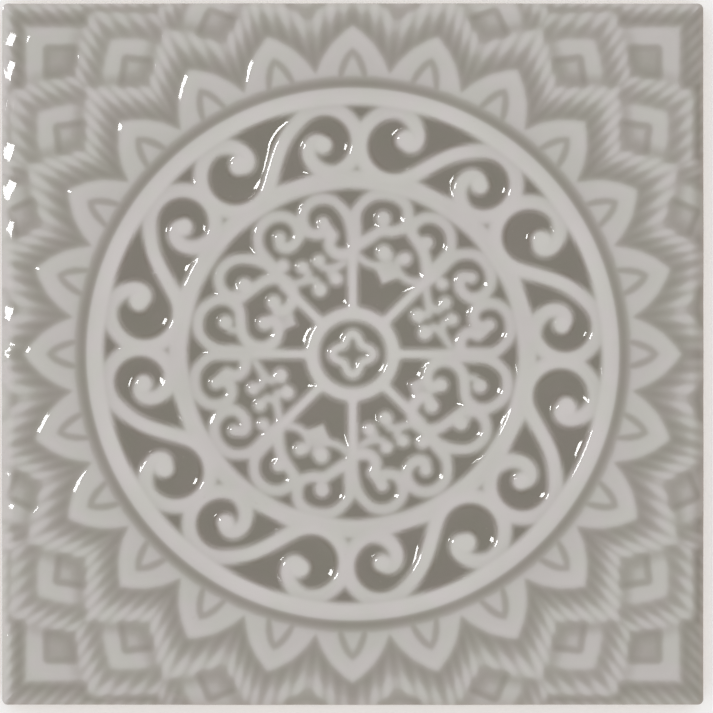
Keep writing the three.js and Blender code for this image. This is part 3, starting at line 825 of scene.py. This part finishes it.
def round_corners(x, y, half, radius):
    """The points of a square grid drawn in so that its four corners are round."""
    u, v = (np.abs(x) - half + radius) / radius, (np.abs(y) - half + radius) / radius
    in_corner = (u > 0) & (v > 0)
    pull = np.where(in_corner, np.maximum(u, v) / np.maximum(np.hypot(u, v), 1e-9), 1)
    new_x = np.where(in_corner, (half - radius + radius * u * pull) * np.sign(x), x)
    new_y = np.where(in_corner, (half - radius + radius * v * pull) * np.sign(y), y)
    return new_x, new_y


def sheet(x_lines, y_lines, z=None):
    """Two triangles for each cell of a grid, split along the flatter diagonal."""
    columns, rows = len(x_lines), len(y_lines)
    a = (np.arange(rows - 1)[:, None] * columns + np.arange(columns - 1)).ravel()
    b, c, d = a + 1, a + columns + 1, a + columns
    split = np.zeros(len(a), bool) if z is None else np.abs(z[a] - z[c]) > np.abs(z[b] - z[d])
    first = np.where(split, [a, b, d], [a, b, c])
    second = np.where(split, [b, c, d], [a, c, d])
    return np.hstack([first, second]).T


def rim_of(triangles):
    """Vertices round the open edge of a sheet, in the order in which its faces run."""
    edges = np.vstack([triangles[:, [0, 1]], triangles[:, [1, 2]], triangles[:, [2, 0]]])
    keys = edges.min(1).astype(np.int64) * (triangles.max() + 1) + edges.max(1)
    _, where, count = np.unique(keys, return_index=True, return_counts=True)
    following = dict(edges[where[count == 1]])
    start = next(iter(following))
    ring = [start]
    while following[ring[-1]] != start:
        ring.append(following[ring[-1]])
    if len(ring) != len(following):
        raise RuntimeError("the edge of the glazed face is not one closed line")
    return np.array(ring)


def zipped(vertices, upper, lower):
    """Triangles that join two level rings, both running anticlockwise seen from above."""
    rings = []
    for ring in (upper, lower):
        angle = np.arctan2(vertices[ring, 1], vertices[ring, 0])
        first = int(np.argmin(angle))
        ring, angle = np.roll(ring, -first), np.roll(angle, -first)
        rings.append((np.append(ring, ring[0]), np.append(angle, angle[0] + 2 * math.pi)))
    (upper, high), (lower, low) = rings
    faces, i, j = [], 0, 0
    while i < len(upper) - 1 or j < len(lower) - 1:
        if j == len(lower) - 1 or (i < len(upper) - 1 and high[i + 1] <= low[j + 1]):
            faces.append((lower[j], upper[i + 1], upper[i]))
            i += 1
        else:
            faces.append((lower[j], lower[j + 1], upper[i]))
            j += 1
    return np.array(faces)


def blender_mesh(name, vertices, triangles):
    mesh = bpy.data.meshes.new(name)
    mesh.vertices.add(len(vertices))
    mesh.vertices.foreach_set("co", (vertices * MM).astype(np.float32).ravel())
    mesh.loops.add(3 * len(triangles))
    mesh.loops.foreach_set("vertex_index", triangles.astype(np.int32).ravel())
    mesh.polygons.add(len(triangles))
    mesh.polygons.foreach_set("loop_start", np.arange(0, 3 * len(triangles), 3, dtype=np.int32))
    mesh.update(calc_edges=True)
    return mesh


def thinned(vertices, triangles, wanted):
    """The mesh with its flatter triangles merged until about the wanted number is left."""
    mesh = blender_mesh("face_draft", vertices, triangles)
    draft = bpy.data.objects.new("face_draft", mesh)
    bpy.context.scene.collection.objects.link(draft)
    modifier = draft.modifiers.new("thin", "DECIMATE")
    modifier.ratio = wanted / len(triangles)
    modifier.use_collapse_triangulate = True
    result = draft.evaluated_get(bpy.context.evaluated_depsgraph_get()).to_mesh()
    points = np.empty(3 * len(result.vertices), np.float32)
    result.vertices.foreach_get("co", points)
    corners = np.empty(len(result.loops), np.int32)
    result.loops.foreach_get("vertex_index", corners)
    if len(corners) != 3 * len(result.polygons):
        raise RuntimeError("the thinned face has faces that are not triangles")
    bpy.data.objects.remove(draft)
    bpy.data.meshes.remove(mesh)
    return points.reshape(-1, 3).astype(float) / MM, corners.reshape(-1, 3)


class TileMesh:
    """The whole tile as one closed mesh: relief face, rounded rim, sides and keyed back."""

    def __init__(self, size):
        self.size = size
        self.half = size.side / 2
        self.relief = Relief(size)
        self.build_face()
        self.build_sides_and_back()
        self.measure_glaze()

    def build_face(self):
        size, half = self.size, self.half
        rim = np.array(RIM_STEPS)
        inner = half - RIM_BORDER
        middle = np.linspace(-inner, inner, int(round(2 * inner / MESH_GRID)) + 1)
        lines = np.concatenate([rim - half, middle, half - rim[::-1]])
        x, y = (axis.ravel() for axis in np.meshgrid(lines, lines))
        x, y = round_corners(x, y, half, size.corner_radius)
        # Clay and glaze together decide where vertices stay: the tone follows one, the shine the other.
        z = self.relief.read((self.relief.clay + self.relief.height) / 2, x, y)
        draft = np.stack([x, y, z], axis=-1)
        self.vertices, self.face = thinned(draft, sheet(lines, lines, z), FACE_TRIANGLES)
        self.face_count = len(self.vertices)
        x, y = self.vertices[:, 0], self.vertices[:, 1]
        inset, _, _ = from_outline(x, y, half, size.corner_radius)
        share = np.clip(1 - inset / size.rim_round, 0, 1)
        fall = RIM_FALL * (1 - np.sqrt(1 - share**2))
        self.vertices[:, 2] = self.relief.read(self.relief.height, x, y) - fall

    def add(self, points):
        """Adds vertices and gives back their numbers."""
        start = len(self.vertices)
        self.vertices = np.vstack([self.vertices, points])
        return np.arange(start, len(self.vertices))

    def build_sides_and_back(self):
        size = self.size
        inset = FOOT_ROUND
        half, radius = self.half - inset, size.corner_radius - inset
        corner = np.array(CORNER_STEPS) * radius / max(CORNER_STEPS)
        ends = np.concatenate([corner, BACK_BORDER])
        wall = np.array(KEY_WALL)
        keys = [
            side * size.key_pitch * (k + 0.5) for k in range(size.key_pairs) for side in (-1, 1)
        ]
        across = [c + side * (size.key_width / 2 - wall) for c in keys for side in (-1, 1)]
        x_lines = np.unique(np.concatenate([*across, ends - half, half - ends]).round(4))
        key_end = self.half - size.key_margin
        y_lines = np.unique(np.concatenate([
            ends - half, half - ends, key_end - wall, wall - key_end, BACK_LINES,
        ]).round(4))
        x, y = (axis.ravel() for axis in np.meshgrid(x_lines, y_lines))
        nearest = np.min([np.abs(x - c) for c in keys], axis=0)
        deep = ease((size.key_width / 2 - nearest) / wall[-1])
        deep *= ease((key_end - np.abs(y)) / wall[-1])
        x, y = round_corners(x, y, half, radius)
        points = np.stack([x, y, size.key_depth * deep], axis=-1)
        back = sheet(x_lines, y_lines)
        edge = points[rim_of(back)]
        _, out_x, out_y = from_outline(edge[:, 0], edge[:, 1], half, radius)
        out = np.stack([out_x, out_y], axis=-1)

        rings, normals = [rim_of(self.face)], []
        top = self.vertices[rings[0]]
        if top[:, 2].min() < SIDE_LEVELS[0] + SIDE_ROOM:
            raise RuntimeError("the rim dips below the first line of the sides")
        _, top_x, top_y = from_outline(top[:, 0], top[:, 1], self.half, size.corner_radius)
        normals.append(np.stack([top_x, top_y, 0 * top_x], axis=-1))
        turns = [(level, 0) for level in SIDE_LEVELS]
        turns += [(FOOT_ROUND * (1 - math.sin(t)), t) for t in np.radians(FOOT_TURNS)]
        for level, turn in turns:
            outward = out * math.cos(turn)
            ring = edge[:, :2] + FOOT_ROUND * outward
            rings.append(self.add(np.column_stack([ring, np.full(len(edge), level)])))
            normals.append(np.column_stack([outward, np.full(len(edge), -math.sin(turn))]))
        back_vertices = self.add(points)
        rings.append(back_vertices[rim_of(back)])
        normals.append(np.tile([0.0, 0.0, -1.0], (len(edge), 1)))

        self.sides = np.vstack([
            zipped(self.vertices, upper, lower) for upper, lower in zip(rings, rings[1:])
        ])
        self.back = back_vertices[back[:, ::-1]]
        self.side_normals = np.zeros_like(self.vertices)
        for ring, normal in zip(rings, normals):
            self.side_normals[ring] = normal
        self.check_closed()

    def check_closed(self):
        triangles = np.vstack([self.face, self.sides, self.back]).astype(np.int64)
        edges = np.vstack([triangles[:, [0, 1]], triangles[:, [1, 2]], triangles[:, [2, 0]]])
        count = len(self.vertices)
        there = np.sort(edges[:, 0] * count + edges[:, 1])
        back = np.sort(edges[:, 1] * count + edges[:, 0])
        if len(np.unique(there)) != len(there) or not np.array_equal(there, back):
            raise RuntimeError("the tile's mesh is not closed")

    def face_normals(self):
        """Normals of the face, from the fine relief and the rounding of the rim."""
        relief, size = self.relief, self.size
        x, y = self.vertices[:, 0], self.vertices[:, 1]
        inset, out_x, out_y = from_outline(x, y, self.half, size.corner_radius)
        share = np.clip(1 - inset / size.rim_round, 0, 0.9)
        steep = RIM_FALL / size.rim_round * share / np.sqrt(1 - share**2)
        normal = np.stack([
            steep * out_x - relief.read(relief.slope_x, x, y),
            steep * out_y - relief.read(relief.slope_y, x, y),
            np.ones(len(x)),
        ], axis=-1)
        return normal / np.linalg.norm(normal, axis=1, keepdims=True)

    def back_normals(self):
        a, b, c = (self.vertices[self.back[:, k]] for k in range(3))
        flat = np.cross(b - a, c - a)
        normal = np.zeros_like(self.vertices)
        for k in range(3):
            np.add.at(normal, self.back[:, k], flat)
        return normal / np.maximum(np.linalg.norm(normal, axis=1, keepdims=True), 1e-12)

    def measure_glaze(self):
        """How deep the glaze stands at each vertex, and how far it breaks off steep places and rims;
        painted shade darkens the right and bottom borders and painted light lightens the left and top
        ones.
        """
        relief = self.relief
        x, y = self.vertices[:, 0], self.vertices[:, 1]
        hollow = relief.read(relief.hollow, x, y)
        slope = np.hypot(relief.read(relief.slope_x, x, y), relief.read(relief.slope_y, x, y))
        inset, out_x, out_y = from_outline(x, y, self.half, self.size.corner_radius)
        on_face = np.arange(len(x)) < self.face_count
        depth = (hollow - HOLLOW_LEAST) / (HOLLOW_MOST - HOLLOW_LEAST)
        # Painted shade toward the right and bottom rims, and painted light toward the left and top
        # ones, added to the glaze's depth.
        border_shade = BORDER_SHADE_ACROSS * out_x - BORDER_SHADE_DOWN * out_y + BORDER_SHADE_ALL_ROUND
        depth += ease(1 - inset / BORDER_SHADE_REACH) * border_shade
        self.depth = np.where(on_face, np.clip(depth, 0, 1), SIDE_DEPTH)
        # The glaze breaks at the rim; painted shade makes that break stronger on the right rim, and
        # painted light makes it weaker on the left.
        rim = np.clip(1 - inset / RIM_BREAK_REACH, 0, 1)
        breaking = rim * (RIM_BREAK + RIM_SHADE_ACROSS * out_x)
        breaking += BREAK_MOST * ease(slope / BREAK_SLOPE)
        self.breaking = np.where(on_face, np.clip(breaking, 0, 1), SIDE_BREAK)

    def flat_map(self):
        """Places in the flat picture for the corners of the face, side and back triangles."""
        side = self.size.side
        face = self.vertices[self.face][..., :2] / side + 0.5
        back = self.vertices[self.back][..., :2] / side + 0.5
        wall = self.vertices[self.sides]
        middle = wall.mean(axis=1)
        along_y = np.abs(middle[:, 0]) > np.abs(middle[:, 1])
        run = np.where(along_y[:, None], wall[..., 1], wall[..., 0]) / side + 0.5
        strip = np.where(along_y, middle[:, 0] > 0, 2 + (middle[:, 1] > 0))
        low = FLAT_SIDE_START + FLAT_SIDE_PITCH * strip[:, None]
        rise = low + FLAT_SIDE * wall[..., 2] / side
        walls = np.stack([FLAT_GAP + FLAT_SIDE * run, rise], axis=-1)
        back = (FLAT_BACK_START, FLAT_GAP) + FLAT_BACK * back
        return np.concatenate([FLAT_GAP + FLAT_FACE * face, walls, back])

    def object(self, name):
        triangles = np.vstack([self.face, self.sides, self.back])
        mesh = blender_mesh(name, self.vertices, triangles)
        for key, values in (("glaze_depth", self.depth), ("glaze_breaking", self.breaking)):
            layer = mesh.attributes.new(key, "FLOAT", "POINT")
            layer.data.foreach_set("value", values.astype(np.float32))
        flat = mesh.uv_layers.new(name="OFBake")
        flat.data.foreach_set("uv", self.flat_map().astype(np.float32).ravel())
        normals = np.concatenate([
            self.face_normals()[self.face].reshape(-1, 3),
            self.side_normals[self.sides].reshape(-1, 3),
            self.back_normals()[self.back].reshape(-1, 3),
        ])
        mesh.polygons.foreach_set("use_smooth", np.ones(len(triangles), bool))
        mesh.normals_split_custom_set(normals.tolist())
        piece = bpy.data.objects.new(name, mesh)
        bpy.context.scene.collection.objects.link(piece)
        return piece


# Materials


class Value:
    """A socket of a material, on which sums are written as ordinary expressions."""

    def __init__(self, graph, socket):
        self.graph = graph
        self.socket = socket

    def __add__(self, other):
        return self.graph.maths("ADD", self, other)

    def __sub__(self, other):
        return self.graph.maths("SUBTRACT", self, other)

    def __mul__(self, other):
        return self.graph.maths("MULTIPLY", self, other)

    __radd__ = __add__
    __rmul__ = __mul__

    def __rsub__(self, other):
        return self.graph.maths("SUBTRACT", other, self)

    def clamped(self):
        return self.graph.maths("MINIMUM", self.graph.maths("MAXIMUM", self, 0), 1)


class Graph:
    """The node tree of one material."""

    def __init__(self, name):
        self.material = bpy.data.materials.new(name)
        self.material.use_nodes = True
        self.tree = self.material.node_tree
        self.tree.nodes.clear()

    def node(self, kind, settings=None, inputs=None, output=0):
        """A node of this type, its settings made first, then the values or links of its sockets."""
        node = self.tree.nodes.new(kind)
        for key, value in (settings or {}).items():
            if key == "stops":
                ramp = node.color_ramp
                while len(ramp.elements) < len(value):
                    ramp.elements.new(0.5)
                for stop, (place, shade) in zip(ramp.elements, value):
                    stop.position = place
                    stop.color = (*shade, 1)
            else:
                setattr(node, key, value)
        for key, value in (inputs or {}).items():
            socket = self.find(node.inputs, key)
            if isinstance(value, Value):
                self.tree.links.new(value.socket, socket)
            elif socket.type == "RGBA" and len(value) == 3:
                socket.default_value = (*value, 1)
            else:
                socket.default_value = value
        return Value(self, self.find(node.outputs, output)) if node.outputs else None

    @staticmethod
    def find(sockets, key):
        if isinstance(key, int):
            return sockets[key]
        return next(s for s in sockets if key in (s.identifier, s.name))

    def maths(self, operation, first, second):
        return self.node("ShaderNodeMath", {"operation": operation}, {0: first, 1: second})

    def mix(self, share, first, second, blend="MIX"):
        return self.node(
            "ShaderNodeMix",
            {"data_type": "RGBA", "blend_type": blend},
            {"Factor_Float": share, "A_Color": first, "B_Color": second},
            "Result_Color",
        )

    def step(self, value, low, high):
        """0 below low and 1 above high, eased between."""
        return self.node(
            "ShaderNodeMapRange",
            {"interpolation_type": "SMOOTHSTEP"},
            {"Value": value, "From Min": low, "From Max": high},
            "Result",
        )

    def attribute(self, name):
        return self.node("ShaderNodeAttribute", {"attribute_name": name}, output="Fac")

    def noise(self, place, size, detail=2, roughness=0.5):
        """Noise whose patches are about this size, in metres."""
        return self.node(
            "ShaderNodeTexNoise",
            {"noise_dimensions": "3D"},
            {"Vector": place, "Scale": 1 / size, "Detail": detail, "Roughness": roughness},
            "Fac",
        )

    def bump(self, height, distance):
        return self.node("ShaderNodeBump", {}, {"Height": height, "Distance": distance}, "Normal")

    def principled(self, **inputs):
        """The usual surface shader; an underscore in a name stands for a space."""
        inputs = {key.replace("_", " "): value for key, value in inputs.items()}
        return self.node("ShaderNodeBsdfPrincipled", {}, inputs, "BSDF")

    def finish(self, surface):
        self.node("ShaderNodeOutputMaterial", inputs={"Surface": surface})
        return self.material


# Shares of red, green and blue that the glaze drifts between from place to place
OLIVE = (0.985, 0.995, 0.96)
ROSY = (1.015, 0.99, 0.995)

# Places in the glaze's depth, from thinnest to deepest, of its two middle colours
LEVEL_GLAZE = 0.27
FULL_GLAZE = 0.48

# Size of the patches in which each finish varies, metres
CLOUD = 0.006
DRIFT = 0.007
BREAK = 0.012
SPECK = 0.0011
SHINE = 0.02
RIPPLE = 0.0035
FINE_RIPPLE = 0.0012
GRIT = 0.0006
LUMP = 0.0025
CLAY_CLOUD = 0.01
LINE_SWING = 0.03
LINE_RAGGED = 0.006
FLOOR_CLOUD = 0.05

RIPPLE_HEIGHT = 0.00004  # metres, like the next three
GRIT_HEIGHT = 0.00012
SWING_HEIGHT = 0.004  # how far the glaze line swings and frays up and down
RAGGED_HEIGHT = 0.0012
LINE_SOFT = 0.0001
DARK_CLAY = 0.82
PITTED_CLAY = 0.55


def glazed_clay(looks):
    """Glossy glaze, pooled in the hollows and broken on the rims, with painted shade along the right
    and bottom borders and painted light along the left and top ones, that stops low on the sides.
    """
    g = Graph("glazed_clay")
    place = g.node("ShaderNodeTexCoord", output="Object")
    height = g.node("ShaderNodeSeparateXYZ", {}, {0: place}, "Z")

    # The glaze's depth holds its pooling in the hollows and the painted shade and light along the
    # borders.
    depth = g.attribute("glaze_depth") + (g.noise(place, CLOUD) - 0.5) * 0.09
    stops = [(0, looks.thin), (LEVEL_GLAZE, looks.level), (FULL_GLAZE, looks.full), (1, looks.pooled)]
    tint = g.node("ShaderNodeValToRGB", {"stops": stops}, {"Fac": depth})
    drift = g.mix(g.step(g.noise(place, DRIFT, 1), 0.35, 0.65), OLIVE, ROSY)
    tint = g.mix(1, tint, drift, "MULTIPLY")
    # Breaks on steep flanks and rims, with painted shade on the right rim.
    breaking = g.attribute("glaze_breaking") * (g.noise(place, BREAK, 3) * 0.6 + 0.1)
    tint = g.mix(breaking.clamped(), tint, tuple(looks.breaking))
    speck = g.step(g.noise(place, SPECK, 1), 0.74, 0.8) * 0.12
    tint = g.mix(speck, tint, tuple(looks.breaking))
    ripple = g.noise(place, RIPPLE, 1) + g.noise(place, FINE_RIPPLE, 1) * 0.15
    glaze = g.principled(
        Base_Color=tint,
        Roughness=g.noise(place, SHINE) * 0.04 + 0.06,
        IOR=1.6,
        Normal=g.bump(ripple, RIPPLE_HEIGHT),
    )

    grit = g.noise(place, GRIT, 4, 0.7)
    dark, pitted = (shaded(looks.clay, share) for share in (DARK_CLAY, PITTED_CLAY))
    body = g.mix(g.noise(place, CLAY_CLOUD, 3), tuple(looks.clay), dark)
    body = g.mix(g.step(grit, 0.62, 0.72) * 0.5, body, pitted)
    clay = g.principled(
        Base_Color=body,
        Roughness=grit * 0.2 + 0.72,
        Normal=g.bump(grit + g.noise(place, LUMP, 3), GRIT_HEIGHT),
    )

    swing = (g.noise(place, LINE_SWING) - 0.5) * SWING_HEIGHT
    ragged = (g.noise(place, LINE_RAGGED) - 0.5) * RAGGED_HEIGHT
    line = looks.glaze_line
    bare = 1 - g.step(height + (swing + ragged), line - LINE_SOFT, line + LINE_SOFT)
    return g.finish(g.node("ShaderNodeMixShader", {}, {"Fac": bare, 1: glaze, 2: clay}, "Shader"))


def shaded(tone, share):
    return tuple(share * value for value in tone)


def pale_floor(looks):
    g = Graph("pale_floor")
    place = g.node("ShaderNodeTexCoord", output="Object")
    cloud = g.noise(place, FLOOR_CLOUD, 3) * 0.3
    tone = g.mix(cloud, tuple(looks.floor), shaded(looks.floor, 0.98))
    return g.finish(g.principled(Base_Color=tone, Roughness=0.6, Specular_IOR_Level=0.2))


# Operators


class TILE_OT_build(bpy.types.Operator):
    """Build the glazed tile in place of the plain solid"""

    bl_idname = "tile.build"
    bl_label = "Build tile"

    def execute(self, context):
        tile = TileMesh(millimetres(context.scene.tile_sizes)).object("relief_tile_glazed")
        tile.data.materials.append(glazed_clay(context.scene.tile_glaze))
        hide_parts("relief_tile")
        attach(tile, "root")
        return {"FINISHED"}


class TILE_OT_stage(bpy.types.Operator):
    """Lay the floor and set up the lights and the camera above the tile"""

    bl_idname = "tile.stage"
    bl_label = "Set the stage"

    def execute(self, context):
        studio = context.scene.tile_studio
        self.lay_floor(context, studio)
        self.light(context, studio)
        self.look(context)
        return {"FINISHED"}

    def lay_floor(self, context, studio):
        reach, count = 1.6, 8
        line = np.linspace(-reach, reach, count + 1) / MM
        x, y = (axis.ravel() for axis in np.meshgrid(line, line))
        points = np.stack([x, y, 0 * x], axis=-1)
        floor = bpy.data.objects.new("floor", blender_mesh("floor", points, sheet(line, line)))
        context.scene.collection.objects.link(floor)
        floor.data.materials.append(pale_floor(studio))

    def light(self, context, studio):
        world = bpy.data.worlds.new("white_surround")
        world.use_nodes = True
        background = world.node_tree.nodes["Background"]
        background.inputs["Color"].default_value = (1, 1, 1, 1)
        background.inputs["Strength"].default_value = studio.sky
        context.scene.world = world
        strip = bpy.data.lights.new("strip_light", "AREA")
        strip.shape = "RECTANGLE"
        strip.size, strip.size_y = STRIP_WIDTH, STRIP_HEIGHT
        strip.energy = studio.strip
        lamp = bpy.data.objects.new("strip_light", strip)
        away = toward(STRIP_BEARING) * math.sin(math.radians(STRIP_TILT))
        lamp.location = Vector((*away, math.cos(math.radians(STRIP_TILT)))) * STRIP_DISTANCE
        lamp.rotation_euler = lamp.location.to_track_quat("Z", "Y").to_euler()
        lamp.visible_camera = False
        lamp.visible_diffuse = False
        context.scene.collection.objects.link(lamp)
        context.scene.view_settings.view_transform = "Standard"

    def look(self, context):
        camera = bpy.data.cameras.new("camera")
        camera.lens = LENS
        camera.sensor_width = SENSOR
        eye = bpy.data.objects.new("camera", camera)
        height = VIEW_WIDTH * LENS / SENSOR + tile_high.z
        eye.location = (VIEW_OFFSET[0], VIEW_OFFSET[1], height)
        camera.clip_end = 10
        context.scene.collection.objects.link(eye)
        context.scene.camera = eye


PANEL_BOXES = (("tile.build", ("tile_sizes", "tile_glaze")), ("tile.stage", ("tile_studio",)))


class TILE_PT_panel(bpy.types.Panel):
    bl_label = "Relief glazed tile"
    bl_idname = "TILE_PT_panel"
    bl_space_type = "VIEW_3D"
    bl_region_type = "UI"
    bl_category = "Tile"

    def draw(self, context):
        for operator, groups in PANEL_BOXES:
            box = self.layout.box()
            for group in groups:
                settings = getattr(context.scene, group)
                for key in settings.__annotations__:
                    box.prop(settings, key)
            box.operator(operator)


CLASSES = (TileSizes, GlazeLooks, StudioLooks, TILE_OT_build, TILE_OT_stage, TILE_PT_panel)
GROUPS = {"tile_sizes": TileSizes, "tile_glaze": GlazeLooks, "tile_studio": StudioLooks}


def register():
    for made in CLASSES:
        bpy.utils.register_class(made)
    for name, group in GROUPS.items():
        setattr(bpy.types.Scene, name, bpy.props.PointerProperty(type=group))


def unregister():
    for name in GROUPS:
        delattr(bpy.types.Scene, name)
    for made in reversed(CLASSES):
        bpy.utils.unregister_class(made)


def main():
    register()
    bpy.ops.tile.stage()
    bpy.ops.tile.build()


if __name__ == "__main__":
    main()
